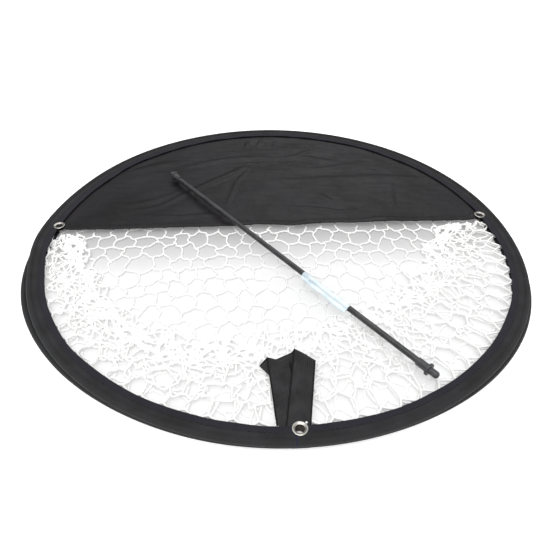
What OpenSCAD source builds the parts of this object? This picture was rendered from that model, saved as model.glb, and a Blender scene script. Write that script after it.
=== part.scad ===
// Collapsible chipping net, folded flat: two spring hoops in sewn bindings lie one on the other,
// joined along the far half. The near half of the upper hoop swings up about the hinge line to
// open the mouth, and the loose prop rod then stands between the two near eyelets.
// X runs across the mouth, -Y towards the carry strap, Z up. The origin is on the ground, below
// the centre of the lower hoop.

/* [Hoops] */
// Outside diameter of both hoops
hoop_d = 560; // [540:1:620]
// Diameter of the bound edge bead that holds the spring wire
bead_d = 6; // [5.8:0.1:6.4]
// Width of the whole binding, from the outside edge to the net
band_w = 19; // [18:0.5:21]
// Thickness of the flat flap of the binding
flap_t = 2; // [1.8:0.1:2.2]
// Diameter of the spring wire
wire_d = 3; // [2.6:0.1:3.2]
// How far the upper hoop's left side has slipped inwards of the lower hoop
slip = 5; // [3:0.5:6]
// Distance of the hinge line beyond the centre
hinge_y = 16.5; // [15:0.25:16.5]

/* [Nets and panel] */
// Distance of the panel's free edge beyond the centre
panel_y = 19.5; // [19:0.5:22]
// Thickness of the nylon panel
panel_t = 1.2; // [0.8:0.1:1.4]
// Width of the hem along the panel's free edge
hem_w = 8; // [6:0.5:10]
// Width of the folded wall net inside the binding
wall_net_w = 96; // [50:1:110]
// Thickness of the net that lies on the ground
base_net_t = 1.3; // [1:0.1:1.4]

/* [Eyelets] */
// Outside diameter of an eyelet
eyelet_d = 13.5; // [12.5:0.1:13.6]
// Diameter of the hole through an eyelet
eyelet_hole = 7; // [6.8:0.1:7.2]
// Distance of each side eyelet's centre from the middle of the net
side_eyelet_x = 258.8; // [257:0.1:259.5]

/* [Prop rod] */
// Diameter of the rod
rod_d = 5.9; // [5:0.1:6]
// Distance between the middles of the two flanges
rod_span = 426; // [400:1:430]
// Direction in which the rod lies, from +X
rod_turn = -54.6; // [-60:0.1:-50]
// Middle of the rod across the net
rod_mid_x = -6.2; // [-8:0.1:0]
// Middle of the rod along the net
rod_mid_y = -44.5; // [-49:0.1:-41]
// Diameter of the plug flanges
flange_d = 12; // [10:0.5:12.5]
// Diameter of the plug tips
tip_d = 6.6; // [6:0.1:6.6]
// Length of the wrapped label
label_l = 66; // [50:1:70]

/* [Carry strap] */
// Width of the webbing
webbing_w = 20; // [19:0.5:21]
// Thickness of one ply of the webbing
webbing_t = 1.5; // [1.2:0.1:1.5]
// Length of the loop from its root to its fold
loop_l = 64; // [50:1:66]

/* [Hidden] */
$fn = 96;

// Gaps: between the two hoops, at the cut of the hinge line, and round a part that slides in
stack_gap = 0.4;
hinge_gap = 0.5;
fit_gap = 0.03;
// The binding's section, from its outside edge
hoop_r = hoop_d / 2;
bead_r = bead_d / 2;
bead_flat = 0.25;
bead_z = bead_r - bead_flat;
bead_top = bead_z + bead_r;
channel_d = wire_d + 1.6;
ferrule_d = wire_d + 1.2;
stitch_in = 11.8;
stitch_w = 0.6;
stitch_h = 0.3;
// Heights in the folded stack
rear_flap_z = bead_z - flap_t / 2;
rear_flap_top = rear_flap_z + flap_t;
front_z = bead_top + stack_gap;
front_flap_z = front_z + rear_flap_z;
front_flap_top = front_flap_z + flap_t;
stack_top = front_z + bead_top;
panel_z = front_flap_z - panel_t;
wall_net_top = front_z - 0.5;
// The hinge line runs just above the upper hoop, so that its near half only swings upwards
hinge_z = stack_top + 0.4;
// The near half of the upper hoop is a little smaller, and is set to the right by its slip
near_r = hoop_r - slip / 2;
near_x = slip / 2;
near_y = -1.5;
// Eyelets
flange_t = 0.8;
barrel_t = 0.5;
barrel_r = eyelet_hole / 2 + barrel_t;
eyelet_r = eyelet_d / 2;
hole_room = 0.1;
notch_r = eyelet_r + 0.6;
side_eyelet_y = hinge_y + eyelet_r + 0.75;
near_eyelet_y = near_y - near_r + band_w - eyelet_r + 0.55;
// The lower eyelet sits right below the near one, so that one pin passes both
rear_eyelet_y = near_eyelet_y;
patch_x = side_eyelet_x - 14;
patch_top_y = side_eyelet_y + 9;
// Prop rod
rod_z = panel_z + panel_t + flange_d / 2 + 1.2;
plug_flange_t = 2.2;
tip_l = 8.9;
collar_d = rod_d + 1.9;
collar_l = 12;
collar_floor = 1;
label_t = 0.3;
label_mid = 84;
label_flag_w = 2.5;
// Carry strap
strap_z = front_flap_z - webbing_t;
ply_gap = 0.3;
strap_top = strap_z + 2 * webbing_t + ply_gap;
strap_y = near_y - near_r + band_w + 1.5;
root_w = webbing_w + 3;

// One binding cut across, in X from the hoop's centre and Z from its own base
module band_section(r) {
    difference() {
        intersection() {
            union() {
                translate([r - bead_r, bead_z]) circle(d = bead_d);
                translate([r - band_w, rear_flap_z]) square([band_w - bead_r, flap_t]);
            }
            translate([r - band_w - 1, 0]) square([band_w + 2, bead_d + 1]);
        }
        translate([r - bead_r, bead_z]) circle(d = channel_d);
    }
}

// A whole ring with the given outside radius and section
module band(r) {
    rotate_extrude($fn = 180) band_section(r);
}

// A ring of round wire in the bead of a binding
module wire_ring(r) {
    rotate_extrude($fn = 180) translate([r - bead_r, bead_z]) circle(d = wire_d);
}

// A crimped tube over a stretch of the wire
module ferrule(r, start, turn) {
    rotate([0, 0, start]) rotate_extrude(angle = turn, $fn = 180)
        translate([r - bead_r, bead_z]) difference() {
            circle(d = ferrule_d);
            circle(d = wire_d + 2 * fit_gap);
        }
}

// A thin line of thread on the flap
module thread_ring(r) {
    rotate_extrude($fn = 180)
        translate([r - stitch_in - stitch_w / 2, rear_flap_top]) square([stitch_w, stitch_h]);
}

// All space beyond (side 1) or short of (side -1) the hinge line
module half_space(side) {
    size = 2 * hoop_d;
    shift = side > 0 ? hinge_y + hinge_gap : hinge_y - hinge_gap - size;
    translate([-size / 2, shift, -size / 2]) cube(size);
}

// What lies beyond and short of the hinge line
module far_half() {
    intersection() {
        children();
        half_space(1);
    }
}
module near_half() {
    intersection() {
        translate([near_x, near_y, 0]) children();
        half_space(-1);
    }
}

// A drill through the stack at each side eyelet
module side_holes(r) {
    for (side = [-1, 1])
        translate([side * side_eyelet_x, side_eyelet_y, -1]) cylinder(r = r, h = stack_top + 2);
}

// A drill through the stack at the near and rear eyelets
module near_hole(r) {
    translate([0, near_eyelet_y, -1]) cylinder(r = r, h = stack_top + 2);
}
module rear_hole(r) {
    translate([0, rear_eyelet_y, -1]) cylinder(r = r, h = stack_top + 2);
}

// An eyelet pressed through cloth from z_low to z_top: a flange with a rolled lip, and a barrel
module eyelet(z_low, z_top) {
    rotate_extrude() {
        translate([eyelet_hole / 2, z_low]) square([barrel_t, z_top - z_low]);
        translate([eyelet_hole / 2, z_top]) square([eyelet_r - eyelet_hole / 2 - 0.4, flange_t]);
        translate([eyelet_r - 0.4, z_top + 0.4]) circle(r = 0.4);
        translate([eyelet_hole / 2 + 0.9, z_top + flange_t]) circle(r = 0.45);
    }
}

// The ring that the eyelet's barrel is clenched over, with its top face at z
module washer(z) {
    translate([0, 0, z - flange_t]) difference() {
        cylinder(r = eyelet_r, h = flange_t);
        translate([0, 0, -1]) cylinder(r = barrel_r + fit_gap, h = flange_t + 2);
    }
}

// Moulded plug on one end of the rod, with its tip along +X and its flange's middle at the origin
module end_plug() {
    rotate([0, 90, 0]) {
        difference() {
            union() {
                translate([0, 0, -collar_l]) cylinder(d = collar_d, h = collar_l);
                translate([0, 0, -plug_flange_t / 2]) cylinder(d = flange_d, h = plug_flange_t);
                cylinder(d = tip_d, h = plug_flange_t / 2 + tip_l - tip_d / 2);
                translate([0, 0, plug_flange_t / 2 + tip_l - tip_d / 2]) sphere(d = tip_d);
            }
            translate([0, 0, -collar_l - 1])
                cylinder(d = rod_d + 2 * fit_gap, h = collar_l - collar_floor - 0.6);
        }
    }
}

// Places a child that lies along +X from the rod's middle
module on_rod() {
    translate([rod_mid_x, rod_mid_y, rod_z]) rotate([0, 0, rod_turn]) children();
}

module rear_sleeve() {
    color("#2b2c2e") difference() {
        band(hoop_r);
        rear_hole(barrel_r + hole_room);
    }
}

module rear_wire() {
    color("#9a9c9e") wire_ring(hoop_r);
}

module rear_ferrule() {
    color("#b7b9bb") ferrule(hoop_r, 80, 7);
}

module rear_stitching() {
    color("#1d1d20") difference() {
        thread_ring(hoop_r);
        rear_hole(notch_r);
    }
}

// Ground net, sewn under the lower binding's flap and the panel's edge
module base_net() {
    color("#f4f4f2") difference() {
        intersection() {
            translate([0, 0, rear_flap_z - base_net_t])
                cylinder(r = hoop_r - bead_d - 2, h = base_net_t, $fn = 180);
            translate([-hoop_d, panel_y + hem_w - 2 * hoop_d, 0]) cube([2 * hoop_d, 2 * hoop_d, 9]);
        }
        rear_hole(notch_r);
    }
}

// Wall net between the two near arcs, folded inwards on the ground net
module wall_net() {
    inner = hoop_r - band_w - wall_net_w;
    step = hoop_r - band_w - slip;
    color("#ececea") difference() {
        intersection() {
            rotate_extrude($fn = 180) {
                translate([inner, rear_flap_z]) square([step - inner, wall_net_top - rear_flap_z]);
                translate([step - 1, rear_flap_top])
                    square([band_w - bead_d - 5, wall_net_top - rear_flap_top]);
            }
            translate([0, -1, 0]) half_space(-1);
        }
        rear_hole(notch_r);
        near_hole(notch_r);
    }
}

// Web that holds the two bindings together along the far half
module joining_web() {
    color("#232427") difference() {
        translate([0, 0, rear_flap_top]) rotate_extrude($fn = 180)
            translate([hoop_r - band_w + 1, 0]) square([5, panel_z - rear_flap_top]);
        translate([-hoop_d, side_eyelet_y + notch_r - 2 * hoop_d, 0]) cube(2 * hoop_d);
    }
}

// Nylon panel across the far half, sewn under the upper binding's flap
module panel() {
    color("#36363a") difference() {
        intersection() {
            translate([0, 0, panel_z]) cylinder(r = hoop_r - bead_d - 2, h = panel_t, $fn = 180);
            translate([-hoop_d, panel_y, 0]) cube([2 * hoop_d, 2 * hoop_d, hoop_d]);
        }
        side_holes(barrel_r + hole_room);
    }
}

// Turned hem on the panel's free edge, between the corner patches
module panel_hem() {
    color("#303034") translate([-patch_x + 0.4, panel_y, panel_z + panel_t])
        cube([2 * patch_x - 0.8, hem_w, 0.8]);
}

// Cloth patches that level the panel with the binding round the side eyelets
module corner_patches() {
    color("#2b2b2f") difference() {
        intersection() {
            translate([0, 0, front_flap_z])
                cylinder(r = hoop_r - band_w - 0.1, h = flap_t, $fn = 180);
            for (side = [-1, 1])
                translate([side > 0 ? patch_x : -patch_x - 30, panel_y - 1.5, 0])
                    cube([30, patch_top_y - panel_y + 1.5, stack_top]);
        }
        side_holes(barrel_r + hole_room);
    }
}

module front_far_sleeve() {
    color("#2b2c2e") difference() {
        far_half() translate([0, 0, front_z]) band(hoop_r);
        side_holes(barrel_r + hole_room);
    }
}

module front_far_wire() {
    color("#9a9c9e") far_half() translate([0, 0, front_z]) wire_ring(hoop_r);
}

module front_far_stitching() {
    color("#1d1d20") far_half() translate([0, 0, front_z]) thread_ring(hoop_r);
}

module side_eyelets() {
    color("#d9d7d2") for (side = [-1, 1])
        translate([side * side_eyelet_x, side_eyelet_y, 0])
            eyelet(panel_z - flange_t, front_flap_top);
}

module side_washers() {
    color("#c9c7c2") for (side = [-1, 1])
        translate([side * side_eyelet_x, side_eyelet_y, 0]) washer(panel_z);
}

module rear_eyelet() {
    color("#d9d7d2") translate([0, rear_eyelet_y, 0])
        eyelet(rear_flap_z - flange_t, rear_flap_top);
}

module rear_washer() {
    color("#c9c7c2") translate([0, rear_eyelet_y, 0]) washer(rear_flap_z);
}

module front_near_sleeve() {
    color("#2e2f31") difference() {
        near_half() translate([0, 0, front_z]) band(near_r);
        near_hole(barrel_r + hole_room);
    }
}

module front_near_wire() {
    color("#9a9c9e") near_half() translate([0, 0, front_z]) wire_ring(near_r);
}

module front_ferrule() {
    color("#b7b9bb") translate([near_x, near_y, front_z]) ferrule(near_r, 300, 7);
}

module front_near_stitching() {
    color("#1d1d20") difference() {
        near_half() translate([0, 0, front_z]) thread_ring(near_r);
        near_hole(notch_r);
    }
}

module near_eyelet() {
    color("#dddbd6") translate([0, near_eyelet_y, 0]) eyelet(strap_z - flange_t, front_flap_top);
}

module near_washer() {
    color("#c9c7c2") translate([0, near_eyelet_y, 0]) washer(strap_z);
}

// Ends of the webbing, sewn under the upper binding's flap and clamped by the near eyelet
module strap_root() {
    color("#38393b") difference() {
        translate([-root_w / 2 - 1.5, near_eyelet_y - 5, strap_z])
            cube([root_w, strap_y - 0.3 - near_eyelet_y + 5, webbing_t]);
        near_hole(barrel_r + hole_room);
    }
}

// Webbing loop folded flat on the net: the lower ply runs out, folds over, and comes back on top
module carry_strap() {
    tip_y = strap_y + loop_l;
    left = -root_w / 2 - 1.5;
    color("#404143") {
        translate([0, 0, strap_z]) linear_extrude(webbing_t) polygon([
            [left, strap_y], [left + webbing_w, strap_y],
            [left + webbing_w - 3, tip_y - 12], [left - 3, tip_y - 12]]);
        translate([0, 0, strap_top - webbing_t]) linear_extrude(webbing_t) polygon([
            [left + 3, strap_y], [left + 3 + webbing_w, strap_y],
            [left + 16 + webbing_w, tip_y - 6], [left + 16, tip_y]]);
        translate([0, 0, strap_z]) linear_extrude(strap_top - strap_z) polygon([
            [left + 13, tip_y - 14], [left + 14 + webbing_w, tip_y - 14],
            [left + 16 + webbing_w, tip_y - 6], [left + 16, tip_y]]);
        translate([left, strap_y, strap_z]) cube([webbing_w + 3, 1, strap_top - strap_z]);
    }
}

module rod_shaft() {
    inside = collar_floor + 0.6 + 0.1;
    color("#1f1f21") on_rod() rotate([0, 90, 0])
        cylinder(d = rod_d, h = rod_span - 2 * inside - 2, center = true);
}

module near_plug() {
    color("#29292b") on_rod() translate([rod_span / 2, 0, 0]) end_plug();
}

module far_plug() {
    color("#29292b") on_rod() rotate([0, 0, 180]) translate([rod_span / 2, 0, 0]) end_plug();
}

// Plain label wrapped round the rod, its end standing off as a short flag
module rod_label() {
    inner_d = rod_d + 2 * fit_gap;
    outer_d = inner_d + 2 * label_t;
    color("#c9dbe6") on_rod() translate([label_mid - label_l / 2, 0, 0]) rotate([0, 90, 0]) {
        difference() {
            union() {
                cylinder(d = outer_d, h = label_l);
                translate([0, -outer_d / 2 - label_flag_w, 0])
                    cube([0.4, label_flag_w + 1, label_l]);
            }
            translate([0, 0, -1]) cylinder(d = inner_d, h = label_l + 2);
        }
    }
}

rear_sleeve();
rear_wire();
rear_ferrule();
rear_stitching();
base_net();
wall_net();
joining_web();
panel();
panel_hem();
corner_patches();
front_far_sleeve();
front_far_wire();
front_far_stitching();
side_eyelets();
side_washers();
rear_eyelet();
rear_washer();
front_near_sleeve();
front_near_wire();
front_ferrule();
front_near_stitching();
near_eyelet();
near_washer();
strap_root();
carry_strap();
rod_shaft();
near_plug();
far_plug();
rod_label();
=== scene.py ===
"""Looks of a collapsible chipping net that lies folded flat on a pale floor.

Lengths are in millimetres and become metres in new_mesh(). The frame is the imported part's:
X across the mouth, +Y towards the panel, +Z up, and the ground below the middle at the origin.
"""

import bpy
import numpy as np
from mathutils import Matrix, Vector


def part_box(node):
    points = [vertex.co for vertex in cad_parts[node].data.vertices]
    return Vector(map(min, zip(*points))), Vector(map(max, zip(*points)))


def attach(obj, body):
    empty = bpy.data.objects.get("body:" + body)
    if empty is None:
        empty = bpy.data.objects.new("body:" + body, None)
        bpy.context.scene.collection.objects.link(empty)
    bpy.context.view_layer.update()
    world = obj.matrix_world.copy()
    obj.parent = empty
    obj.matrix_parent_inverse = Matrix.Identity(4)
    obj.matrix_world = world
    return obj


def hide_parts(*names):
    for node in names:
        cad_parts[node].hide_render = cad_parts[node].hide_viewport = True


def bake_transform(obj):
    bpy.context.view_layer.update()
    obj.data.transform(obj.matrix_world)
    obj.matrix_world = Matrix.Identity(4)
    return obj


MM = 0.001

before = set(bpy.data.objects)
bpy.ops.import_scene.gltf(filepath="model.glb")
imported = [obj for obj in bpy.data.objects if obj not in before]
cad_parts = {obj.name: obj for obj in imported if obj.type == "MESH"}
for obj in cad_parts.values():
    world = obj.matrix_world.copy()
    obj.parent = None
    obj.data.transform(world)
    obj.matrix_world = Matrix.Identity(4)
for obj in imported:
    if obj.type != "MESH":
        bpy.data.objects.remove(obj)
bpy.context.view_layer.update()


# ---------------------------------------------------------------- sizes


def cad(node):
    """Lowest and highest corner of a CAD node."""
    return [np.array(corner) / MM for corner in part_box(node)]


REAR_LOW, REAR_HIGH = cad("rear_sleeve")
NEAR_LOW, NEAR_HIGH = cad("front_near_sleeve")
FRONT_HIGH = cad("front_far_sleeve")[1]
HOOP_R = REAR_HIGH[0]
NEAR_R = (NEAR_HIGH[0] - NEAR_LOW[0]) / 2
NEAR_MID = np.array([(NEAR_HIGH[0] + NEAR_LOW[0]) / 2, NEAR_LOW[1] + NEAR_R])

BEAD_R = 3.0
BAND_W = 19.0
FLAP_T = 2.0
STITCH_IN = 11.8
REAR_Z = REAR_HIGH[2] - BEAD_R
FRONT_Z = FRONT_HIGH[2] - BEAD_R

PANEL_Y = cad("panel")[0][1]
PANEL_R = cad("panel")[1][1]
PANEL_TOP = cad("panel")[1][2]
HEM_W = 8.0

# Direction in which the tapes' two ends meet, and the place along the tape in metres
JOIN = -np.pi / 2 - 0.0235
JOIN_AT = JOIN * HOOP_R * MM

WIRE_R = 1.5
FERRULE_R = 2.3
CORD_R = 1.15
KNOT_R = 1.6
STRAP_HALF = 10.1
CELL = 21.0
WALL_LOW, WALL_HIGH = 2.6, 5.2

EYELET_R = 6.75
EYELET_HOLE = 3.5
# How far from an eyelet's axis the cloth under its flange is cut away
EYELET_CUT = 4.5
EYELET_Z = FRONT_Z + FLAP_T / 2


def eyelets():
    """Name, place, CAD piece, height of the cloth under the flange, and body of each eyelet."""
    low, high = cad("side_eyelets")
    side_x, side_y = high[0] - EYELET_R, (low[1] + high[1]) / 2
    near_y, rear_y = (cad(node)[0][1] + EYELET_R for node in ("near_eyelet", "rear_eyelet"))
    return [
        ("left_eyelet_ring", (-side_x, side_y), "side_eyelets", EYELET_Z, "root"),
        ("right_eyelet_ring", (side_x, side_y), None, EYELET_Z, "root"),
        ("near_eyelet_ring", (0, near_y), "near_eyelet", EYELET_Z, "mouth_arc"),
        ("rear_eyelet_ring", (0, rear_y), "rear_eyelet", REAR_Z + 1, "root"),
    ]


EYELETS = eyelets()


# ---------------------------------------------------------------- small tools


def smooth(t):
    """0 to 1 with a soft start and end."""
    t = np.clip(t, 0, 1)
    return t * t * (3 - 2 * t)


def unsmooth(w):
    """The t at which smooth(t) is w."""
    return 0.5 - np.sin(np.arcsin(1 - 2 * np.clip(w, 0, 1)) / 3)


def ripple(x, y, length, seed, waves=7):
    """Seeded unevenness of about +-1, with bumps about length apart."""
    rng = np.random.default_rng(seed)
    total = 0.0
    for _ in range(waves):
        angle, phase = rng.uniform(0, 2 * np.pi, 2)
        k = 2 * np.pi / (length * rng.uniform(0.7, 1.6))
        total = total + np.sin(k * (x * np.cos(angle) + y * np.sin(angle)) + phase)
    return total / np.sqrt(waves)


def new_mesh(name, points, faces, material, edges=(), uv=None):
    points = np.asarray(points, float).reshape(-1, 3) * MM
    mesh = bpy.data.meshes.new(name)
    mesh.from_pydata(points.tolist(), [tuple(e) for e in edges], np.asarray(faces).tolist())
    if uv is not None:
        mesh.uv_layers.new(name="cloth").data.foreach_set("uv", np.asarray(uv).ravel() * MM)
    mesh.materials.append(material)
    mesh.shade_smooth()
    obj = bpy.data.objects.new(name, mesh)
    bpy.context.scene.collection.objects.link(obj)
    return obj


def grid(name, points, material, u=None, v=None, close_u=False, close_v=False, keep=None):
    """A mesh of quads through points[i, j]. u and v give each row's and column's UV, and keep
    tells from the quads' middles which of them stay."""
    nu, nv = points.shape[:2]
    i, j = np.meshgrid(
        np.arange(nu if close_u else nu - 1), np.arange(nv if close_v else nv - 1), indexing="ij"
    )
    i, j = i.ravel(), j.ravel()
    corners = [(i, j), (i + 1, j), (i + 1, j + 1), (i, j + 1)]
    faces = np.stack([(a % nu) * nv + b % nv for a, b in corners], -1)
    uv = None
    if u is not None:
        uv = np.stack([np.stack([u[a], v[b]], -1) for a, b in corners], 1)
    if keep is not None:
        kept = keep(points.reshape(-1, 3)[faces].mean(axis=1))
        faces, uv = faces[kept], uv[kept]
    return new_mesh(name, points, faces, material, uv=uv)


def lathe(name, outline, material, at=(0, 0, 0), turn=None, sides=64):
    """A solid of revolution: outline is (radius, height) pairs, turned about Z and moved to at."""
    outline = np.asarray(outline, float)
    a = np.linspace(0, 2 * np.pi, sides, endpoint=False)[:, None]
    points = np.stack(
        [outline[:, 0] * np.cos(a), outline[:, 0] * np.sin(a), outline[:, 1] + 0 * a], -1
    )
    if turn is not None:
        points = points @ np.array(turn).T
    return grid(name, points + np.array(at), material, close_u=True)


def rounded(outline, radius, steps=4):
    """An open outline of 2-D points with its inner corners rounded by up to radius."""
    points = [np.array(p, float) for p in outline]
    made = [points[0]]
    for before, corner, after in zip(points, points[1:], points[2:]):
        a, b = before - corner, after - corner
        la, lb = np.linalg.norm(a), np.linalg.norm(b)
        reach = min(radius, la / 2, lb / 2)
        start, end = corner + a / la * reach, corner + b / lb * reach
        for t in np.linspace(0, 1, steps + 1):
            made.append((1 - t) ** 2 * start + 2 * t * (1 - t) * corner + t * t * end)
    return np.array(made + [points[-1]])


# ---------------------------------------------------------------- materials


class Paint:
    """A procedural material, built up socket by socket."""

    def __init__(self, name, colour, roughness, **sockets):
        self.material = bpy.data.materials.new(name)
        self.material.use_nodes = True
        self.tree = self.material.node_tree
        self.shader = self.tree.nodes["Principled BSDF"]
        self.shader.inputs["Base Color"].default_value = (*colour, 1)
        self.shader.inputs["Roughness"].default_value = roughness
        for socket, value in sockets.items():
            self.shader.inputs[socket.replace("_", " ")].default_value = value

    def node(self, kind, **inputs):
        made = self.tree.nodes.new("ShaderNode" + kind)
        for socket, value in inputs.items():
            self.put(made.inputs[socket.replace("_", " ")], value)
        return made

    def put(self, socket, value):
        if isinstance(value, bpy.types.NodeSocket):
            self.tree.links.new(value, socket)
        else:
            socket.default_value = value

    def place(self, where, scale):
        """Coordinates from where ("UV", "Object"), scaled, so that a texture is in real size."""
        source = self.node("TexCoord").outputs[where]
        return self.node("Mapping", Vector=source, Scale=scale).outputs["Vector"]

    def noise(self, vector, scale, detail=3.0, low=0.35, high=0.65):
        """Noise spread over 0 to 1."""
        made = self.node("TexNoise", Vector=vector, Scale=scale, Detail=detail)
        return self.spread(made.outputs["Fac"], low, high)

    def waves(self, vector, scale, axis="X"):
        made = self.node("TexWave", Vector=vector, Scale=scale)
        made.bands_direction = axis
        return made.outputs["Fac"]

    def spread(self, value, low, high, to_low=0.0, to_high=1.0):
        made = self.node("MapRange", Value=value)
        for socket, number in zip(list(made.inputs)[1:5], (low, high, to_low, to_high)):
            socket.default_value = number
        return made.outputs["Result"]

    def sum(self, a, b, weight):
        made = self.tree.nodes.new("ShaderNodeMath")
        made.operation = "MULTIPLY_ADD"
        self.put(made.inputs[0], b)
        made.inputs[1].default_value = weight
        self.put(made.inputs[2], a)
        return made.outputs[0]

    def mix(self, factor, a, b):
        """Colour a where factor is 0 and colour b where it is 1."""
        made = self.tree.nodes.new("ShaderNodeMix")
        made.data_type = "RGBA"
        for index, value in ((0, factor), (6, a), (7, b)):
            if isinstance(value, tuple) and len(value) == 3:
                value = (*value, 1)
            self.put(made.inputs[index], value)
        return made.outputs[2]

    def colour(self, value):
        self.put(self.shader.inputs["Base Color"], value)

    def rough(self, value):
        self.put(self.shader.inputs["Roughness"], value)

    def bump(self, height, distance, strength=1.0):
        made = self.node("Bump", Height=height, Distance=distance * MM, Strength=strength)
        if self.shader.inputs["Normal"].is_linked:
            made.inputs["Normal"].default_value = (0, 0, 0)
            self.put(made.inputs["Normal"], self.shader.inputs["Normal"].links[0].from_socket)
        self.put(self.shader.inputs["Normal"], made.outputs["Normal"])


CLOTH = {"Specular_IOR_Level": 0.2, "Sheen_Weight": 0.04, "Sheen_Roughness": 0.5}


def tape_paint():
    """Ribbed binding tape: fine ribs across it, a bluish inner edge and a painted highlight along
    the bead.
    """
    p = Paint("binding_tape", (0.03, 0.03, 0.03), 0.75, **CLOTH)
    uv = p.node("TexCoord").outputs["UV"]
    across = p.node("SeparateXYZ", Vector=uv).outputs["Y"]
    blotch = p.noise(uv, 45)
    inner = p.spread(across, 0.0112, 0.0125)
    body = p.mix(blotch, (0.017, 0.017, 0.018), (0.028, 0.028, 0.031))
    # painted highlight: the bead is lighter along its rounded outer side, where the light catches
    # it
    body = p.mix(p.spread(across, 0.0015, 0.005, 0.5, 0.0), body, (0.032, 0.032, 0.033))
    body = p.mix(p.sum(0.0, inner, 0.6), body, (0.015, 0.014, 0.026))
    ribs = p.waves(p.place("UV", (1, 0.25, 1)), 300)
    p.colour(p.mix(p.sum(0.0, ribs, 0.4), body, (0.006, 0.006, 0.006)))
    from_join = p.node("SeparateXYZ", Vector=uv).outputs["X"]
    join = p.spread(from_join, JOIN_AT + 0.0006, JOIN_AT + 0.0010, 1.0, 0.0)
    p.colour(p.mix(join, p.shader.inputs["Base Color"].links[0].from_socket, (0.012, 0.010, 0.05)))
    p.bump(p.sum(ribs, p.noise(uv, 900), 0.5), 0.12)
    return p.material


def thread_paint():
    p = Paint("sewing_thread", (0.02, 0.02, 0.02), 0.65, **CLOTH)
    place = p.place("Object", (1, 1, 1))
    p.colour(p.mix(p.noise(place, 700), (0.010, 0.010, 0.012), (0.030, 0.030, 0.034)))
    p.bump(p.noise(place, 2500), 0.05)
    return p.material


def panel_paint():
    """Thin black nylon: a fine plain weave, soft lustre and slight colour drift."""
    p = Paint("panel_nylon", (0.03, 0.03, 0.03), 0.4, Specular_IOR_Level=0.22)
    place = p.place("Object", (1, 1, 1))
    blotch = p.noise(place, 14, 5)
    p.colour(p.mix(blotch, (0.006, 0.0052, 0.0062), (0.012, 0.0105, 0.0125)))
    p.rough(p.spread(p.noise(place, 60), 0, 1, 0.4, 0.5))
    weave = p.sum(p.waves(place, 480, "X"), p.waves(place, 480, "Y"), 1.0)
    p.bump(weave, 0.04, 0.6)
    p.bump(p.noise(place, 42, 5, 0.3, 0.7), 0.5, 0.5)
    return p.material


def cord_paint():
    """White knotted netting cord, with a fine lay."""
    # painted light: the cords glow faintly, which lifts the shade among them
    glow = {"Emission_Color": (1, 1, 1, 1), "Emission_Strength": 0.08}
    p = Paint("net_cord", (0.88, 0.88, 0.87), 0.75, **glow)
    place = p.place("Object", (1, 1, 1))
    p.colour(p.mix(p.noise(place, 60), (0.82, 0.82, 0.815), (0.9, 0.9, 0.895)))
    p.bump(p.noise(place, 1500, 2), 0.15)
    return p.material


def webbing_paint():
    """Ribbed webbing: ribs along it, fine weft across it."""
    p = Paint("strap_webbing", (0.03, 0.03, 0.03), 0.7, **CLOTH)
    uv = p.node("TexCoord").outputs["UV"]
    ribs = p.waves(uv, 170, "Y")
    weft = p.waves(uv, 320, "X")
    tone = p.mix(p.noise(uv, 70), (0.019, 0.019, 0.020), (0.036, 0.036, 0.038))
    woven = p.mix(p.sum(0.0, ribs, 0.35), tone, (0.010, 0.010, 0.011))
    across = p.node("Math", Value=p.node("SeparateXYZ", Vector=uv).outputs["Y"])
    across.operation = "ABSOLUTE"
    # painted shade: both edges of the webbing are darkened almost to black, for the shadow where
    # one ply lies over another
    ply_edge_shade = p.spread(across.outputs[0], (STRAP_HALF - 1.7) * MM, (STRAP_HALF - 0.9) * MM)
    p.colour(p.mix(ply_edge_shade, woven, (0.002, 0.002, 0.002)))
    p.bump(p.sum(ribs, weft, 0.35), 0.4)
    return p.material


def metal_paint(name, colour, roughness):
    p = Paint(name, colour, roughness, Metallic=1.0)
    place = p.place("Object", (1, 1, 1))
    wear = p.noise(place, 300)
    dull_wear_and_shade = tuple(0.72 * c for c in colour)
    p.colour(p.mix(wear, colour, dull_wear_and_shade))
    p.rough(p.spread(p.noise(place, 800), 0, 1, roughness, roughness + 0.18))
    p.bump(p.noise(place, 500), 0.03)
    return p.material


def rod_paint():
    """Satin black fibreglass with long faint draw marks."""
    p = Paint("rod_satin", (0.028, 0.028, 0.030), 0.34, Specular_IOR_Level=0.55)
    place = p.place("Object", (1, 1, 1))
    p.colour(p.mix(p.noise(place, 90), (0.020, 0.020, 0.022), (0.045, 0.045, 0.048)))
    p.rough(p.spread(p.noise(place, 240), 0, 1, 0.28, 0.46))
    p.bump(p.noise(place, 900), 0.04)
    return p.material


def plug_paint():
    """Moulded plastic with a fine grain."""
    p = Paint("plug_plastic", (0.045, 0.045, 0.048), 0.42)
    place = p.place("Object", (1, 1, 1))
    p.colour(p.mix(p.noise(place, 150), (0.035, 0.035, 0.038), (0.07, 0.07, 0.074)))
    p.bump(p.noise(place, 1200), 0.06)
    return p.material


def label_paint():
    """Blank pale film with a cool drift along it."""
    p = Paint("label_film", (0.66, 0.78, 0.85), 0.22, Coat_Weight=0.4, Coat_Roughness=0.1)
    uv = p.node("TexCoord").outputs["UV"]
    along = p.node("SeparateXYZ", Vector=uv).outputs["X"]
    drift = p.mix(p.spread(along, 0.0, 0.03), (0.38, 0.47, 0.55), (0.66, 0.80, 0.86))
    p.colour(p.mix(p.noise(uv, 120), drift, (0.80, 0.87, 0.88)))
    p.bump(p.noise(uv, 300), 0.06)
    return p.material


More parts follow.
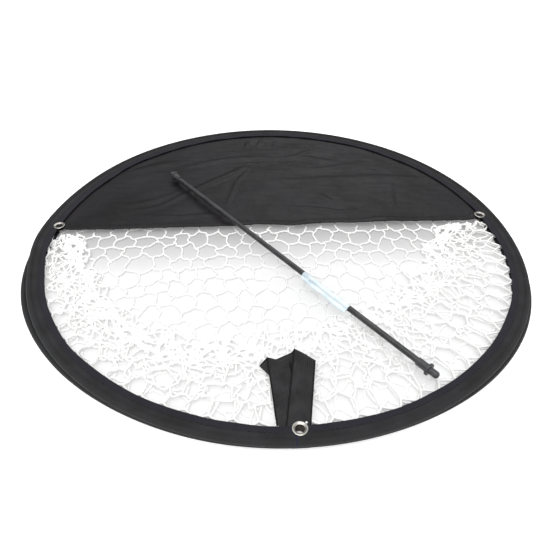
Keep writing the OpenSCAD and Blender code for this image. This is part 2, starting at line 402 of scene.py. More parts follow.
def floor_paint():
    """A white floor, a shade greyer inside the hoops, with a painted shadow beside the panel's
    edge.
    """
    p = Paint("floor_white", (0.9, 0.9, 0.9), 0.8, Emission_Color=(1, 1, 1, 1))
    place = p.place("Object", (1, 1, 1))
    away = p.node("VectorMath", Vector=place)
    away.operation = "LENGTH"
    outside = p.spread(away.outputs["Value"], 0.262, 0.274)
    axes = p.node("SeparateXYZ", Vector=place)
    # painted shadow: the floor turns darker towards the panel's edge, as if the panel shaded it
    panel_shadow = p.spread(axes.outputs["Y"], -0.06, 0.008)
    inside = p.mix(panel_shadow, (0.45, 0.45, 0.45), (0.26, 0.26, 0.26))
    p.colour(p.mix(outside, inside, (0.95, 0.95, 0.95)))
    # the floor glows, a little more outside the hoops and less beside the panel's edge, under the
    # painted shadow
    glow = p.sum(p.sum(0.38, outside, 0.03), panel_shadow, -0.17)
    p.put(p.shader.inputs["Emission Strength"], glow)
    return p.material


TAPE, THREAD, PANEL, CORD = tape_paint(), thread_paint(), panel_paint(), cord_paint()
WEBBING, ROD, PLUG, LABEL = webbing_paint(), rod_paint(), plug_paint(), label_paint()
NICKEL = metal_paint("eyelet_nickel", (0.52, 0.50, 0.46), 0.24)
# painted shade: a dark brown metal for the shaded inside of the eyelets' barrels
BORE_SHADE = metal_paint("eyelet_bore_shade", (0.13, 0.11, 0.10), 0.5)
STEEL = metal_paint("spring_steel", (0.55, 0.55, 0.56), 0.3)
ALUMINIUM = metal_paint("ferrule_aluminium", (0.7, 0.7, 0.71), 0.35)


# ---------------------------------------------------------------- bindings


# How far the hoops' outlines stray outwards: direction in degrees and distance
FAR_STRAY = [(0, -1), (20, -2), (55, 0), (90, 3), (130, 0), (160, -4.5), (180, 0)]
REAR_STRAY = FAR_STRAY + [
    (198, 6), (216, 3), (240, -1.5), (270, -2), (292, 0), (310, 5), (332, 8), (350, 3),
]
FRONT_STRAY = FAR_STRAY + [(198, 3), (216, 3), (240, 2), (300, 2), (315, 3), (332, 4), (348, 1)]


def stray(angles, points):
    """Smooth distance that the points give at each angle."""
    directions = [np.degrees(angles) + d for d in np.linspace(-9, 9, 7)]
    return np.mean([np.interp(d, *np.transpose(points), period=360) for d in directions], axis=0)


def rim(angles, front):
    """Outer edge of a hoop at these angles, and the direction outwards there. The near half of
    the front hoop has slipped, which its outline takes up beside the hinge line."""
    out = np.stack([np.cos(angles), np.sin(angles)], -1)
    slipped = np.zeros(len(angles))
    if front:
        slipped = smooth((12 - HOOP_R * out[:, 1]) / 85)
    slipped = slipped[:, None]
    reach = HOOP_R + stray(angles, FRONT_STRAY if front else REAR_STRAY)[:, None]
    return out * (reach + slipped * (NEAR_R - HOOP_R)) + slipped * NEAR_MID, out


def tape_outline():
    """(distance in from the outer edge, height) round a tape that is folded over the wire."""
    turn = np.radians(np.linspace(-150, 150, 27))
    bead = np.stack([BEAD_R - BEAD_R * np.cos(turn), BEAD_R * np.sin(turn)], -1)
    bead[:, 1] = np.maximum(bead[:, 1], 0.25 - BEAD_R)
    top = [
        (6.8, 1.1), (8.5, 0.95), (9.6, 0.98), (10.6, 1.0), (11.4, 0.85), (STITCH_IN, 0.7),
        (12.2, 0.85), (13.0, 1.0), (14.2, 1.02), (15.4, 1.02), (16.5, 1.0), (17.6, 0.98),
        (18.5, 0.8), (18.95, 0.4), (19.05, 0.0),
    ]
    under = [(inset, -height) for inset, height in top[-2::-1]]
    return np.concatenate([bead, top, under])


def clear_of(middles, places, gap):
    """Tells which of the middles are more than gap away from all the places."""
    return np.all([np.hypot(*(middles[:, :2] - place).T) > gap for place in places], axis=0)


def binding(name, z_mid, front, seed):
    """One ring of binding tape, a little uneven along its flap and inner edge."""
    count = 1080
    angles = JOIN + np.linspace(0, 2 * np.pi, count, endpoint=False)
    edge, out = rim(angles, front)
    outline = tape_outline()
    inset, height = outline[:, 0], outline[:, 1]
    along = angles[:, None] * HOOP_R
    flap = smooth((inset - 7) / 12)
    slim = 1.2 * smooth(-40 * out[:, 1:] - 2) * front
    inset_here = inset + flap * (0.5 * ripple(along, 0, 70, seed) - slim)
    lift = 0.28 * flap * ripple(along, 0, 45, seed + 1) * (front or 0.4)
    overlap = 0.3 * smooth((14 - (angles - JOIN) * HOOP_R) / 1.5)[:, None]
    plan = edge[:, None] - out[:, None] * inset_here[..., None]
    z = z_mid + height + np.minimum(lift, 0.25) + overlap * np.sign(height)
    points = np.concatenate([plan, z[..., None]], -1)
    u = np.append(angles, angles[0] + 2 * np.pi) * HOOP_R
    v = np.append(inset, inset[0])
    holes = [(x, y) for _, (x, y), _, top, _ in EYELETS if (top == EYELET_Z) == front]
    return grid(
        name, points, TAPE, u=u, v=v, close_u=True, close_v=True,
        keep=lambda middles: clear_of(middles, holes, EYELET_CUT),
    )


def stitches(name, line, out, z, step=4.2, length=3.1, thick=0.42):
    """A row of single stitches along line, each a short thread that dips at both ends."""
    shares = np.concatenate([[0], np.cumsum(np.linalg.norm(np.diff(line, axis=0), axis=1))])
    at = np.arange(step / 2, shares[-1], step)
    mid = np.stack([np.interp(at, shares, line[:, k]) for k in (0, 1)], -1)
    seen = clear_of(mid, [place for _, place, *_ in EYELETS], EYELET_R + 0.8)
    at, mid = at[seen], mid[seen]
    side = np.stack([np.interp(at, shares, out[:, k]) for k in (0, 1)], -1)
    side /= np.linalg.norm(side, axis=1)[:, None]
    ahead = np.stack([-side[:, 1], side[:, 0]], -1)
    ring = np.radians(np.arange(0, 360, 60))
    rows = [(-0.5, 0.35, -0.45), (-0.36, 1, 0), (0, 1.05, 0.12), (0.36, 1, 0), (0.5, 0.35, -0.45)]
    local = np.array(
        [
            (s * length, r * thick * np.cos(a), r * thick * 0.8 * np.sin(a) + dip)
            for s, r, dip in rows
            for a in ring
        ]
    )
    plan = (
        mid[:, None]
        + local[None, :, 0, None] * ahead[:, None]
        + local[None, :, 1, None] * side[:, None]
    )
    zs = np.broadcast_to(z + local[None, :, 2], plan.shape[:2])
    points = np.concatenate([plan, zs[..., None]], -1)
    one = [
        (r * 6 + k, r * 6 + (k + 1) % 6, (r + 1) * 6 + (k + 1) % 6, (r + 1) * 6 + k)
        for r in range(4)
        for k in range(6)
    ]
    faces = (np.array(one)[None] + 30 * np.arange(len(at))[:, None, None]).reshape(-1, 4)
    return new_mesh(name, points, faces, THREAD)


def make_bindings():
    rear = binding("rear_binding", REAR_Z, False, 11)
    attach(rear, "root")
    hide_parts("rear_sleeve")
    front = binding("front_binding", FRONT_Z, True, 21)
    across_hinge(front)
    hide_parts("front_far_sleeve", "front_near_sleeve")
    for name, z, is_front, stands_for in (
        ("rear_stitches", REAR_Z, False, ["rear_stitching"]),
        ("front_stitches", FRONT_Z, True, ["front_far_stitching", "front_near_stitching"]),
    ):
        angles = np.linspace(-np.pi / 2 + 0.03, 1.5 * np.pi - 0.03, 1440)
        edge, out = rim(angles, is_front)
        row = stitches(name, edge - out * STITCH_IN, out, z + 0.95)
        if is_front:
            across_hinge(row)
        else:
            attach(row, "root")
        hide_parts(*stands_for)


def across_hinge(obj):
    """Bakes obj's transform into its mesh; obj is not bent from the fixed far half to the near half
    that swings up.
    """
    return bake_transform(obj)


def wire(name, angles, front, radius, paint, *stands_for):
    """A length of round wire inside a bead, or of the ferrule on it."""
    edge, out = rim(angles, front)
    around = np.radians(np.linspace(0, 360, 12, endpoint=False))
    plan = edge[:, None] - out[:, None] * (BEAD_R + radius * np.cos(around))[:, None]
    z = np.broadcast_to((FRONT_Z if front else REAR_Z) + radius * np.sin(around), plan.shape[:2])
    points = np.concatenate([plan, z[..., None]], -1)
    made = grid(name, points, paint, close_u=len(angles) > 100, close_v=True)
    if front:
        across_hinge(made)
    else:
        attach(made, "root")
    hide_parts(*stands_for)


def make_wires():
    """The spring wires inside the tapes, each closed by a crimped ferrule."""
    ring = np.linspace(0, 2 * np.pi, 480, endpoint=False)
    wire("rear_spring_wire", ring, False, WIRE_R, STEEL, "rear_wire")
    wire("front_spring_wire", ring, True, WIRE_R, STEEL, "front_far_wire", "front_near_wire")
    for name, front, node in (
        ("rear_wire_ferrule", False, "rear_ferrule"),
        ("front_wire_ferrule", True, "front_ferrule"),
    ):
        low, high = cad(node)
        beside = np.arctan2(*((low + high) / 2)[[1, 0]])
        angles = beside + np.linspace(-0.045, 0.045, 13)
        wire(name, angles, front, FERRULE_R, ALUMINIUM, node)


def make_joining_web():
    """The strip of cloth that joins the two bindings along their far half."""
    low, high = cad("joining_web")
    angles = np.linspace(np.radians(6.5), np.radians(173.5), 300)
    rows = np.linspace(0, 1, 7)
    along = angles[:, None] * HOOP_R
    r = HOOP_R - BAND_W + 3.5 + 0.9 * np.sin(np.pi * rows) * ripple(along, 0, 22, 31)
    z = low[2] - 0.4 + (high[2] - low[2] + 0.8) * rows
    points = np.stack([r * np.cos(angles)[:, None], r * np.sin(angles)[:, None], z + 0 * r], -1)
    web = grid("joining_cloth", points, TAPE, u=angles * HOOP_R, v=14 + 4 * rows)
    thicken(web, 0.7)
    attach(web, "root")
    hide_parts("joining_web")


def thicken(obj, thickness):
    made = obj.modifiers.new("thickness", "SOLIDIFY")
    made.thickness = thickness * MM
    made.offset = 0
    return obj


# ---------------------------------------------------------------- panel

# Creases of the panel: the points each runs through, its relative height and its half width
CREASES = [
    ([(-186, 53), (-144, 67), (-115, 93), (-70, 131), (-33, 162)], 0.9, 5),
    ([(-190, 66), (-150, 80), (-118, 104)], 0.7, 6),
    ([(-103, 106), (-57, 144), (-30, 170)], 0.9, 5),
    ([(-26, 167), (-47, 121), (-61, 59)], 0.8, 2.5),
    ([(-212, 150), (-154, 177), (-107, 188)], 0.9, 9),
    ([(-127, 166), (-59, 190), (7, 196)], 0.9, 6),
    ([(-207, 69), (-191, 50)], 0.8, 3),
    ([(-160, 44), (-120, 40), (-70, 46)], 0.6, 4),
    ([(4, 189), (54, 194), (104, 172)], 1.0, 6),
    ([(36, 195), (79, 218)], 0.9, 4),
    ([(60, 152), (139, 168)], 0.9, 7),
    ([(64, 88), (76, 70)], 0.9, 3),
    ([(0, 123), (139, 129), (229, 120)], 0.8, 9),
    ([(168, 112), (160, 80), (155, 49)], 0.5, 4),
    ([(19, 57), (44, 54), (85, 43), (123, 51)], 0.7, 4),
    ([(-27, 250), (-30, 226)], 1.2, 3),
    ([(-5, 256), (-12, 232)], 1.2, 3),
    ([(15, 249), (14, 228)], 1.0, 3),
]
# Puckers: middle and relative height, where the cloth is pinched from below
PUCKERS = [(-28, 177, 1.3), (-10, 176, 1.3), (148, 150, 0.8)]
# Where the cloth lies flatter, below the rod's far plug
UNDER_PLUG = (-129, 128)
CREASE_RISE = 2.4
PUCKER_RISE = 1.4


def to_line(x, y, points):
    """Distance from a broken line, and a share that fades to 0 at its two ends."""
    nearest = np.full(np.shape(x), 1e9)
    fade = np.zeros(np.shape(x))
    lengths = [np.hypot(*np.subtract(b, a)) for a, b in zip(points, points[1:])]
    total, run = sum(lengths), 0.0
    for (ax, ay), (bx, by), length in zip(points, points[1:], lengths):
        t = np.clip(((x - ax) * (bx - ax) + (y - ay) * (by - ay)) / length**2, 0, 1)
        d = np.hypot(x - ax - t * (bx - ax), y - ay - t * (by - ay))
        share = (run + t * length) / total
        fade = np.where(d < nearest, np.sin(np.pi * np.clip(share, 0.02, 0.98)) ** 0.6, fade)
        nearest = np.minimum(nearest, d)
        run += length
    return nearest, fade


def panel_height(x, y):
    """Height of the cloth over its own flat level."""
    z = 0.4 * ripple(x * 0.7 - y * 0.4, y, 60, 41) + 0.12 * ripple(x, y, 16, 42)
    for points, height, width in CREASES:
        d, fade = to_line(x, y, points)
        ridge = np.exp(-((d / width) ** 2)) - 0.4 * np.exp(-((d / width / 2) ** 2))
        z = z + CREASE_RISE * height * fade * ridge
    for px, py, height in PUCKERS:
        bump = np.exp(-(((x - px) / 5) ** 2 + ((y - py) / 2.5) ** 2))
        z = z + PUCKER_RISE * height * bump
    under_plug = np.exp(-(((x - UNDER_PLUG[0]) / 14) ** 2 + ((y - UNDER_PLUG[1]) / 14) ** 2))
    return z * (1 - 0.8 * under_plug)


def panel_edge(x):
    """How far the free edge strays from its line, in two soft waves."""
    return 0.9 * ripple(x, 0, 60, 43) + 0.5 * ripple(x, 0, 24, 44)


def hem_curl(x):
    """Share, 0 to 1, by which the hem stands up and rolls: strongest right of the middle."""
    return np.exp(-(((x - 138) / 24) ** 2))


def panel_z(x, y):
    """Height of the panel's middle surface, flat where the binding's flap holds it."""
    free = smooth((PANEL_R - 11 - np.hypot(x, y)) / 16) * smooth((258 - abs(x)) / 14)
    edge = np.exp(-(((y - PANEL_Y) / 9) ** 2))
    lift = panel_height(x, y) * (1 - 0.5 * edge) - 0.5
    return PANEL_TOP - 0.55 + free * (lift + 1.6 * edge * hem_curl(x))


def make_panel():
    across = np.sin(np.linspace(-np.pi / 2, np.pi / 2, 321)) * (PANEL_R - 1.2)
    across = across[1:-1]
    share = np.linspace(0, 1, 140)
    start = PANEL_Y + panel_edge(across)
    end = np.sqrt(np.maximum(PANEL_R**2 - across**2, (PANEL_Y + 0.5) ** 2))
    end = np.maximum(end, start + 0.5)
    y = start[:, None] + (end - start)[:, None] * share
    x = across[:, None] + 0 * y
    points = np.stack([x, y, panel_z(x, y)], -1)
    panel = grid("net_panel", points, PANEL)
    thicken(panel, 0.45)
    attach(panel, "root")
    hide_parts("panel")
    return panel


def make_hem():
    """The hem: the cloth's free edge turned over on top of itself and sewn down."""
    reach = -cad("panel_hem")[0][0]
    x = np.linspace(-reach - 6, reach + 6, 420)
    edge = PANEL_Y + panel_edge(x)
    curl = hem_curl(x)
    fold = np.radians(np.linspace(-90, 90, 9))
    section = [(-0.15 - 0.75 * np.cos(a), 0.72 * np.sin(a) + 0.25) for a in fold]
    section += [(2.0, 1.05), (4.0, 0.95), (5.8, 0.8), (6.6, 0.62), (7.4, 0.75), (HEM_W, 0.6)]
    section = np.array([(-0.15, -0.47), *section, (HEM_W + 0.25, 0.2)])
    wide = HEM_W + 2.5 * curl + 0.5 * ripple(x, 0, 35, 46)
    y = edge[:, None] + section[:, 0] * np.where(section[:, 0] > 0, (wide / HEM_W)[:, None], 1)
    puff = 1 + 1.3 * curl[:, None] * np.sin(np.pi * np.clip(section[:, 0] / HEM_W, 0, 1))
    z = panel_z(x[:, None] + 0 * y, y) + section[:, 1] * puff
    z += 0.12 * ripple(x[:, None], 0, 9, 47) * (section[:, 1] > 0.5)
    points = np.stack([x[:, None] + 0 * y, y, z], -1)
    hem = grid("panel_hem_fold", points, PANEL)
    thicken(hem, 0.3)
    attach(hem, "root")
    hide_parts("panel_hem")
    line = np.stack([x, edge + 6.6 * wide / HEM_W], -1)
    thread = stitches("hem_stitches", line, np.stack([0 * x, 1 + 0 * x], -1), 0, 3.6, 2.7, 0.3)
    for vertex in thread.data.vertices:
        px, py = vertex.co.x / MM, vertex.co.y / MM
        vertex.co.z += float(panel_z(np.array(px), np.array(py)) + 0.75) * MM
    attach(thread, "root")
    return [hem, thread]


def make_corner_patches():
    """Two folded cloth corners beside the side eyelets."""
    made = []
    for side, name in ((-1, "left_corner_patch"), (1, "right_corner_patch")):
        u, v = np.meshgrid(np.linspace(0, 1, 30), np.linspace(0, 1, 24), indexing="ij")
        y = PANEL_Y - 0.6 + 13 * v
        outer = np.sqrt((HOOP_R - BAND_W + 3) ** 2 - y**2)
        inner = 242 + 2.5 * np.sin(2.4 * v) + 5 * v
        x = side * (inner + (outer - inner) * u)
        soft = np.sin(np.pi * np.clip(v, 0.03, 0.97)) * np.sin(np.pi * np.clip(u, 0.03, 0.6))
        soft = soft**0.3
        z = PANEL_TOP - 0.1 + 0.9 * soft + 0.15 * ripple(x, y, 6, 51 + side)
        patch = grid(name, np.stack([x, y, z], -1), PANEL)
        thicken(patch, 0.5)
        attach(patch, "root")
        made.append(patch)
    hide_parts("corner_patches")
    return made


# ---------------------------------------------------------------- nets


def honeycomb(columns, rows):
    """Knots (column, row, up or down) of a netting of six-sided cells, and its cords."""
    knots = [(k, j) for j in range(rows) for k in range(columns)]
    index = {knot: i for i, knot in enumerate(knots)}
    cords = [(index[k, j], index[k + 1, j]) for k, j in knots if k + 1 < columns]
    cords += [(index[k, j], index[k, j + 1]) for k, j in knots if (k + j) % 2 == 0 and j + 1 < rows]
    flat = [
        (k * CELL / 2, j * CELL + (CELL / 6 if (k + j) % 2 == 0 else -CELL / 6)) for k, j in knots
    ]
    return np.array(flat), np.array(cords)


def cord_mesh(name, knots, cords, slack, seed):
    """Centrelines of the cords as edges. Each cord runs through four points that bow to one side
    and back by its slack."""
    rng = np.random.default_rng(seed)
    a, b = knots[cords[:, 0]], knots[cords[:, 1]]
    side = np.stack([a[:, 1] - b[:, 1], b[:, 0] - a[:, 0], 0 * a[:, 0]], -1)
    side /= np.maximum(np.linalg.norm(side, axis=1), 1e-6)[:, None]
    bow = (slack * rng.uniform(0.4, 1, len(cords)) * rng.choice([-1, 1], len(cords)))[:, None]
    wave = (slack * rng.uniform(-0.7, 0.7, len(cords)))[:, None]
    points, chain = [knots], [cords[:, 0]]
    for k, t in enumerate((0.2, 0.4, 0.6, 0.8)):
        reach = bow * np.sin(np.pi * t) + wave * np.sin(2 * np.pi * t)
        points.append(a + (b - a) * t + side * reach)
        chain.append(len(knots) + k * len(cords) + np.arange(len(cords)))
    chain.append(cords[:, 1])
    edges = np.concatenate([np.stack(pair, -1) for pair in zip(chain, chain[1:])])
    net = new_mesh(name, np.concatenate(points), [], CORD, edges=edges)
    used = np.zeros(sum(map(len, points)), bool)
    used[np.unique(cords)] = True
    net.data.attributes.new("knot", "BOOLEAN", "POINT").data.foreach_set("value", used)
    return net


def round_cords(obj, radius, knot_radius):
    """Turns obj's edges into round cords with a knot at each marked point, at every pose."""
    tree = bpy.data.node_groups.new(obj.name + "_cords", "GeometryNodeTree")
    for way in ("INPUT", "OUTPUT"):
        tree.interface.new_socket("Geometry", in_out=way, socket_type="NodeSocketGeometry")
    add, link = tree.nodes.new, tree.links.new
    given, result = add("NodeGroupInput"), add("NodeGroupOutput")
    line = add("GeometryNodeMeshToCurve")
    ring = add("GeometryNodeCurvePrimitiveCircle")
    ring.inputs["Resolution"].default_value = 6
    ring.inputs["Radius"].default_value = radius * MM
    tube = add("GeometryNodeCurveToMesh")
    marked = add("GeometryNodeInputNamedAttribute")
    marked.data_type = "BOOLEAN"
    marked.inputs["Name"].default_value = "knot"
    ball = add("GeometryNodeMeshIcoSphere")
    ball.inputs["Radius"].default_value = knot_radius * MM
    ball.inputs["Subdivisions"].default_value = 2
    spots = add("GeometryNodeInstanceOnPoints")
    real = add("GeometryNodeRealizeInstances")
    both = add("GeometryNodeJoinGeometry")
    soft = add("GeometryNodeSetShadeSmooth")
    paint = add("GeometryNodeSetMaterial")
    paint.inputs["Material"].default_value = CORD
    link(given.outputs[0], line.inputs["Mesh"])
    link(line.outputs["Curve"], tube.inputs["Curve"])
    link(ring.outputs["Curve"], tube.inputs["Profile Curve"])
    link(given.outputs[0], spots.inputs["Points"])
    link(marked.outputs["Attribute"], spots.inputs["Selection"])
    link(ball.outputs["Mesh"], spots.inputs["Instance"])
    link(spots.outputs["Instances"], real.inputs["Geometry"])
    link(tube.outputs["Mesh"], both.inputs["Geometry"])
    link(real.outputs["Geometry"], both.inputs["Geometry"])
    link(both.outputs["Geometry"], soft.inputs["Geometry"])
    link(soft.outputs["Geometry"], paint.inputs["Geometry"])
    link(paint.outputs["Geometry"], result.inputs[0])
    obj.modifiers.new("cords", "NODES").node_group = tree
    return obj


def trimmed(knots, cords, inside):
    """Only the cords with an end inside, and only the knots that they use."""
    cords = cords[inside[cords].any(axis=1)]
    used = np.unique(cords)
    new_index = np.full(len(knots), -1)
    new_index[used] = np.arange(len(used))
    return knots[used], new_index[cords]


def around_eyelets(knots):
    """Moves knots aside that would lie under an eyelet."""
    reach = EYELET_R + 2.2
    for _, place, *_ in EYELETS:
        aside = knots[:, :2] - place
        gap = np.hypot(*aside.T)
        close = gap < reach
        knots[close, :2] = place + aside[close] * (reach / gap[close])[:, None]
    return knots


def make_base_net():
    """The net on the ground, one layer across the near half and under the panel's edge."""
    reach = HOOP_R - 10
    flat, cords = honeycomb(int(2 * reach / CELL * 2) + 3, int((reach + 30) / CELL) + 3)
    x = flat[:, 0] - reach - CELL / 2
    y = 30 - flat[:, 1]
    x, y = (
        x + 3.2 * ripple(x, y, 90, 61) + 1.6 * ripple(x, y, 30, 62),
        y + 3.4 * ripple(x, y, 80, 63) + 1.8 * ripple(x, y, 28, 64),
    )
    knots, cords = trimmed(np.stack([x, y], -1), cords, np.hypot(x, y) < reach - 6)
    far = np.hypot(*knots.T)
    knots = around_eyelets(knots * np.minimum(1, reach / far)[:, None])
    z = 1.15 + 0.25 * ripple(knots[:, 0], knots[:, 1], 40, 65)
    net = cord_mesh("base_netting", np.column_stack([knots, z]), cords, 2.0, 66)
    round_cords(net, CORD_R, KNOT_R)
    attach(net, "root")
    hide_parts("base_net")


WALL_ROWS = 15
WALL_SPAN = 440.0
WALL_OUT = 263.0
WALL_TURN = np.radians(4.4)
WALL_ARC = (np.pi + 2 * WALL_TURN) * WALL_OUT


def wall_point(x, share):
    """Where a point of the wall net lies when it is folded. x runs along the near half from its
    right end, and share goes from 0 at the lower hoop to 1 at the upper one."""
    turn = np.pi * np.clip(x / WALL_ARC, 0.004, 0.996)
    y = WALL_SPAN * share
    ends = np.sin(turn) ** 0.25
    pleat = ends * np.sin(np.pi * share) ** 0.8
    depth = 58 + 50 * smooth((np.radians(150) - turn) / np.radians(90))
    r = WALL_OUT - pleat * (depth - 11 * ripple(x, y, 60, 71) - 7 * ripple(x, y, 24, 73))
    r = np.minimum(r, WALL_OUT + 1) - 7 * np.exp(-(((turn - 0.16) / 0.13) ** 2))
    shift = pleat * (9 * ripple(x, y, 55, 72) + 6 * ripple(x, y, 22, 74))
    angle = WALL_TURN - (np.pi + 2 * WALL_TURN) * x / WALL_ARC + shift / 230
    z = WALL_LOW + (WALL_HIGH - WALL_LOW) * unsmooth(share)
    px, py = r * np.cos(angle), np.minimum(r * np.sin(angle), 13 + 3 * pleat)
    return np.stack([px, py, z], -1)


def make_wall_net():
    """The netting between the two near halves, gathered in when folded. Its cords climb from the
    lower hoop to the upper one in order."""
    flat, cords = honeycomb(int(WALL_ARC / CELL * 2), WALL_ROWS + 1)
    x = flat[:, 0] + 0.2 * CELL
    share = np.clip(flat[:, 1] / (WALL_ROWS * CELL), 0, 1)
    knots = sew_to_binding(wall_point(x, share), share)
    length = np.linalg.norm(knots[cords[:, 0], :2] - knots[cords[:, 1], :2], axis=1)
    spare = np.sqrt(np.maximum((0.58 * CELL) ** 2 - length**2, 1.0))
    edge = (share[cords] < 0.03).all(axis=1) | (share[cords] > 0.97).all(axis=1)
    slack = np.minimum(0.5 * spare, np.where(edge, 0.8, 1.0 + 0.6 * length))
    net = cord_mesh("wall_netting", knots, cords, slack, 75)
    round_cords(net, CORD_R, KNOT_R)
    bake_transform(net)
    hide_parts("wall_net")


def sew_to_binding(knots, share):
    """Takes the border knots into the two flaps."""
    angles = np.arctan2(knots[:, 1], knots[:, 0])
    for front, border in ((True, share >= 0.999), (False, share <= 0.001)):
        edge, out = rim(angles[border], front)
        knots[border, :2] = edge - out * (BAND_W - 3.0)
    knots[share >= 0.999, 2] = FRONT_Z - 2.4
    return around_eyelets(knots)


# ---------------------------------------------------------------- eyelets


def eyelet_outline(z_low, z_top):
    """A rolled flange on the cloth, a flared mouth, and a barrel down to z_low."""
    flange = rounded(
        [
            (EYELET_R - 0.35, z_top - 0.1),
            (EYELET_R, z_top + 0.4),
            (EYELET_R - 0.5, z_top + 1.0),
            (EYELET_R - 1.3, z_top + 1.0),
            (EYELET_R - 2.2, z_top + 0.4),
            (EYELET_HOLE + 0.4, z_top + 0.1),
            (EYELET_HOLE, z_top - 0.8),
            (EYELET_HOLE, z_low),
        ],
        0.4,
    )
    back = np.array([(EYELET_HOLE + 0.45, z_low), (EYELET_HOLE + 0.45, z_top - 0.1)])
    return np.concatenate([flange, back, flange[:1]])


def make_eyelets():
    """The four plated eyelets, down to the washers below."""
    for name, (x, y), node, z_top, body in EYELETS:
        z_low = cad(node or "side_eyelets")[0][2]
        ring = lathe(name, eyelet_outline(z_low, z_top), NICKEL, at=(x, y, 0), sides=72)
        ring.data.materials.append(BORE_SHADE)
        # painted shade: faces near the axis, inside the barrel and on the rear ring also across its
        # mouth, take the dark bore paint
        dull_wear_and_shade = EYELET_HOLE + (0.3 if z_top == EYELET_Z else 1.3)
        for face in ring.data.polygons:
            reach = np.hypot(*(np.array(face.center[:2]) - np.array((x, y)) * MM))
            face.material_index = int(reach < dull_wear_and_shade * MM)
        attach(ring, body)
        if node:
            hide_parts(node)


# ---------------------------------------------------------------- carry strap

STRAP_T = 1.1
STRAP_START = (-1.5, -267.0)
STRAP_TURN = np.radians(79.8)
# Folds of the webbing from its upper end: distance along it, the fold line's angle to the
# webbing, the bend's radius, and whether the rest turns upwards
STRAP_FOLDS = [(72.2, 116.7, 2.4, False), (113.6, 102.0, 0.8, False), (129.6, 68.3, 0.8, True)]
STRAP_LENGTH = 205.0
STRAP_HOLE = 4.4


def folded(flat, folds):
    """A flat strip along +Y, rolled back over or under itself at each fold, the last one first."""
    points = flat.copy()
    for along, degrees, radius, up in reversed(folds):
        a = np.radians(degrees)
        line, beyond = np.array([np.sin(a), np.cos(a)]), np.array([-np.cos(a), np.sin(a)])
        start, sign = np.array([0, along]), 1 if up else -1
        past = (flat[:, :2] - start) @ beyond
        q, t = (points[:, :2] - start) @ beyond, (points[:, :2] - start) @ line
        turn = np.clip(past / radius, 0, np.pi)
        z = points[:, 2] * sign
        back = np.where(turn < np.pi, (radius - z) * np.sin(turn), np.pi * radius - q)
        q = np.where(past > 0, back, q)
        z = np.where(past > 0, radius - (radius - z) * np.cos(turn), z)
        points = np.column_stack([start + np.outer(q, beyond) + np.outer(t, line), z * sign])
    return points


def make_strap():
    """The carry loop: webbing that leaves the eyelet, folds over three times and comes back."""
    along = np.linspace(0, STRAP_LENGTH, 412)
    across = np.linspace(-STRAP_HALF, STRAP_HALF, 25)
    s, t = np.meshgrid(along, across, indexing="ij")
    points = folded(np.column_stack([t.ravel(), s.ravel(), 0 * s.ravel()]), STRAP_FOLDS)
    turn = STRAP_TURN - np.pi / 2
    x = STRAP_START[0] + points[:, 0] * np.cos(turn) - points[:, 1] * np.sin(turn)
    y = STRAP_START[1] + points[:, 0] * np.sin(turn) + points[:, 1] * np.cos(turn)
    spread = smooth((y + 259) / 42)
    top = 7.1 + 4.6 * spread + 3.4 * smooth((y + 214) / 24) * np.exp(points[:, 2] / 1.5)
    z = top + points[:, 2] * (0.45 + 0.55 * spread) + 0.25 * ripple(x, y, 30, 81) * spread
    eye = cad("near_eyelet")[0][1] + EYELET_R
    strap = grid(
        "carry_loop",
        np.stack([x, y, z], -1).reshape(*s.shape, 3),
        WEBBING,
        u=along,
        v=across,
        keep=lambda middle: np.hypot(middle[:, 0], middle[:, 1] - eye) > STRAP_HOLE,
    )
    thicken(strap, STRAP_T)
    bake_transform(strap)
    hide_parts("carry_strap", "strap_root")


# ---------------------------------------------------------------- prop rod

HALF_SPAN = 213.0
# The label: its middle's distance from the rod's middle, its half length and its radius
LABEL_AT, LABEL_HALF, LABEL_R = 84.0, 33.0, 3.15


def rod_axes():
    """The rod's middle, its direction towards the near end, and the matrix from +Z to it."""
    low_a, high_a = cad("far_plug")
    low_b, high_b = cad("near_plug")
    far_mid, near_mid = (low_a + high_a) / 2, (low_b + high_b) / 2
    along = (near_mid - far_mid) / np.linalg.norm(near_mid - far_mid)
    side = np.cross([0, 0, 1], along)
    return (far_mid + near_mid) / 2, along, np.column_stack([side, np.cross(along, side), along])


def plug_outline(shaft_r):
    """Half section of an end plug: collar, flange and tip, from the flange's inner face."""
    return rounded(
        [
            (shaft_r, -12.0), (3.9, -12.0), (3.9, -3.2), (4.15, -2.6), (4.15, -1.1), (6.0, -1.1),
            (6.0, 1.1), (3.55, 1.1), (3.2, 1.9), (3.3, 3.4), (3.3, 8.4), (1.9, 10.0), (0.01, 10.0),
        ],
        0.45,
    )


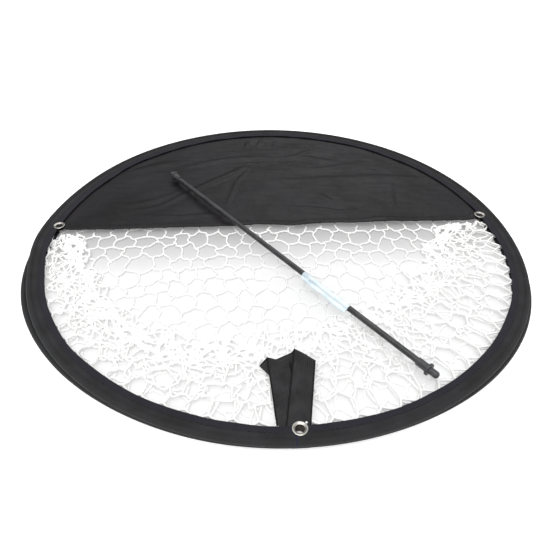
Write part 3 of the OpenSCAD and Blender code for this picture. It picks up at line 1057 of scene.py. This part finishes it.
def make_rod():
    middle, along, turn = rod_axes()
    low, high = cad("rod_shaft")
    shaft_r = (high[2] - low[2]) / 2
    flip = turn @ np.diag([1, -1, -1])
    for name, sign, how in (("near_plug_moulding", 1, turn), ("far_plug_moulding", -1, flip)):
        at = middle + along * sign * HALF_SPAN
        plug = lathe(name, plug_outline(shaft_r), PLUG, at=at, turn=how, sides=56)
        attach(plug, "rod")
        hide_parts(name.replace("_moulding", ""))
    label_middle = middle + along * LABEL_AT
    u = np.linspace(-LABEL_HALF, LABEL_HALF, 90)
    over, under = (np.radians(np.linspace(a, b, 16)) for a, b in ((55, 172), (206, 330)))
    flag = [(-4.2, 0.1), (-5.6, -0.4), (-6.9, -0.9), (-6.9, -1.1), (-5.6, -0.9), (-4.2, -0.9)]
    ring = np.array(
        [(LABEL_R * np.cos(a), LABEL_R * np.sin(a)) for a in over]
        + flag
        + [(LABEL_R * np.cos(a), LABEL_R * np.sin(a)) for a in under]
    )
    stand = np.clip((-3.3 - ring[:, 0]) / 3, 0, 1)
    points = []
    for t in u:
        flat = ring.copy()
        flat[:, 1] += 0.6 * stand * ripple(t, 0, 22, 91)
        flat[:, 0] += 0.5 * stand * ripple(t, 0, 30, 92)
        points.append(label_middle + turn @ np.array([0, 0, t]) + flat @ turn[:, :2].T)
    length = np.concatenate([[0], np.cumsum(np.linalg.norm(np.diff(ring, axis=0), axis=1))])
    label = grid("rod_label_film", np.array(points), LABEL, u=u + LABEL_HALF, v=length)
    thicken(label, 0.16)
    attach(label, "rod")
    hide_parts("rod_label")


# ---------------------------------------------------------------- carried-over CAD nodes


def paint_cad_nodes():
    paints = {
        "side_washers": NICKEL, "rear_washer": NICKEL, "near_washer": NICKEL,
        "rod_shaft": ROD,
    }
    for node, material in paints.items():
        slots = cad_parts[node].data.materials
        slots.clear()
        slots.append(material)


# ---------------------------------------------------------------- stage

FLOOR_HALF = 3000.0
# Just below the ground plane, so that the lower binding's underside doesn't share its faces
FLOOR_Z = -0.05


def make_stage():
    sides = (-FLOOR_HALF, FLOOR_HALF)
    corners = np.array([[(x, y, FLOOR_Z) for y in sides] for x in sides], float)
    floor = grid("floor", corners, floor_paint())
    world = bpy.data.worlds.new("studio")
    bpy.context.scene.world = world
    world.use_nodes = True
    tree = world.node_tree
    place, axes = tree.nodes.new("ShaderNodeTexCoord"), tree.nodes.new("ShaderNodeSeparateXYZ")
    height = tree.nodes.new("ShaderNodeMapRange")
    for socket, value in (("From Min", 0.3), ("To Min", 0.12), ("To Max", 1.5)):
        height.inputs[socket].default_value = value
    tree.links.new(place.outputs["Generated"], axes.inputs[0])
    tree.links.new(axes.outputs["Z"], height.inputs["Value"])
    tree.links.new(height.outputs["Result"], tree.nodes["Background"].inputs["Strength"])
    tree.nodes["Background"].inputs["Color"].default_value = (1, 1, 1, 1)
    for name, spot, power, size in (
        ("key", (0.3, 1.3, 1.2), 4, 1.0),
        ("fill", (-0.3, -0.9, 1.6), 18, 1.6),
    ):
        lamp = bpy.data.lights.new(name, "AREA")
        lamp.energy, lamp.size = power, size
        obj = bpy.data.objects.new(name, lamp)
        obj.location = spot
        obj.rotation_euler = (-Vector(spot)).to_track_quat("-Z", "Y").to_euler()
        bpy.context.scene.collection.objects.link(obj)
    bpy.context.scene.view_settings.view_transform = "Standard"


def make_camera():
    """The main view, from the near side."""
    aim = Vector((-0.0056, -0.0691, 0))
    tilt, turn, distance, roll = np.radians(40.48), np.radians(4.70), 0.5427, np.radians(1.18)
    look = Vector((np.cos(tilt) * np.sin(turn), np.cos(tilt) * np.cos(turn), -np.sin(tilt)))
    data = bpy.data.cameras.new("camera")
    data.sensor_width, data.lens = 36, 32.26933
    camera = bpy.data.objects.new("camera", data)
    camera.location = aim - look * distance
    facing = look.to_track_quat("-Z", "Y").to_matrix() @ Matrix.Rotation(roll, 3, "Z")
    camera.rotation_euler = facing.to_euler()
    bpy.context.scene.collection.objects.link(camera)
    bpy.context.scene.camera = camera


make_camera()
make_stage()
paint_cad_nodes()
make_bindings()
make_wires()
make_joining_web()
net_panel = make_panel()
panel_trim = make_hem() + make_corner_patches()
make_base_net()
make_wall_net()
make_eyelets()
make_strap()
make_rod()
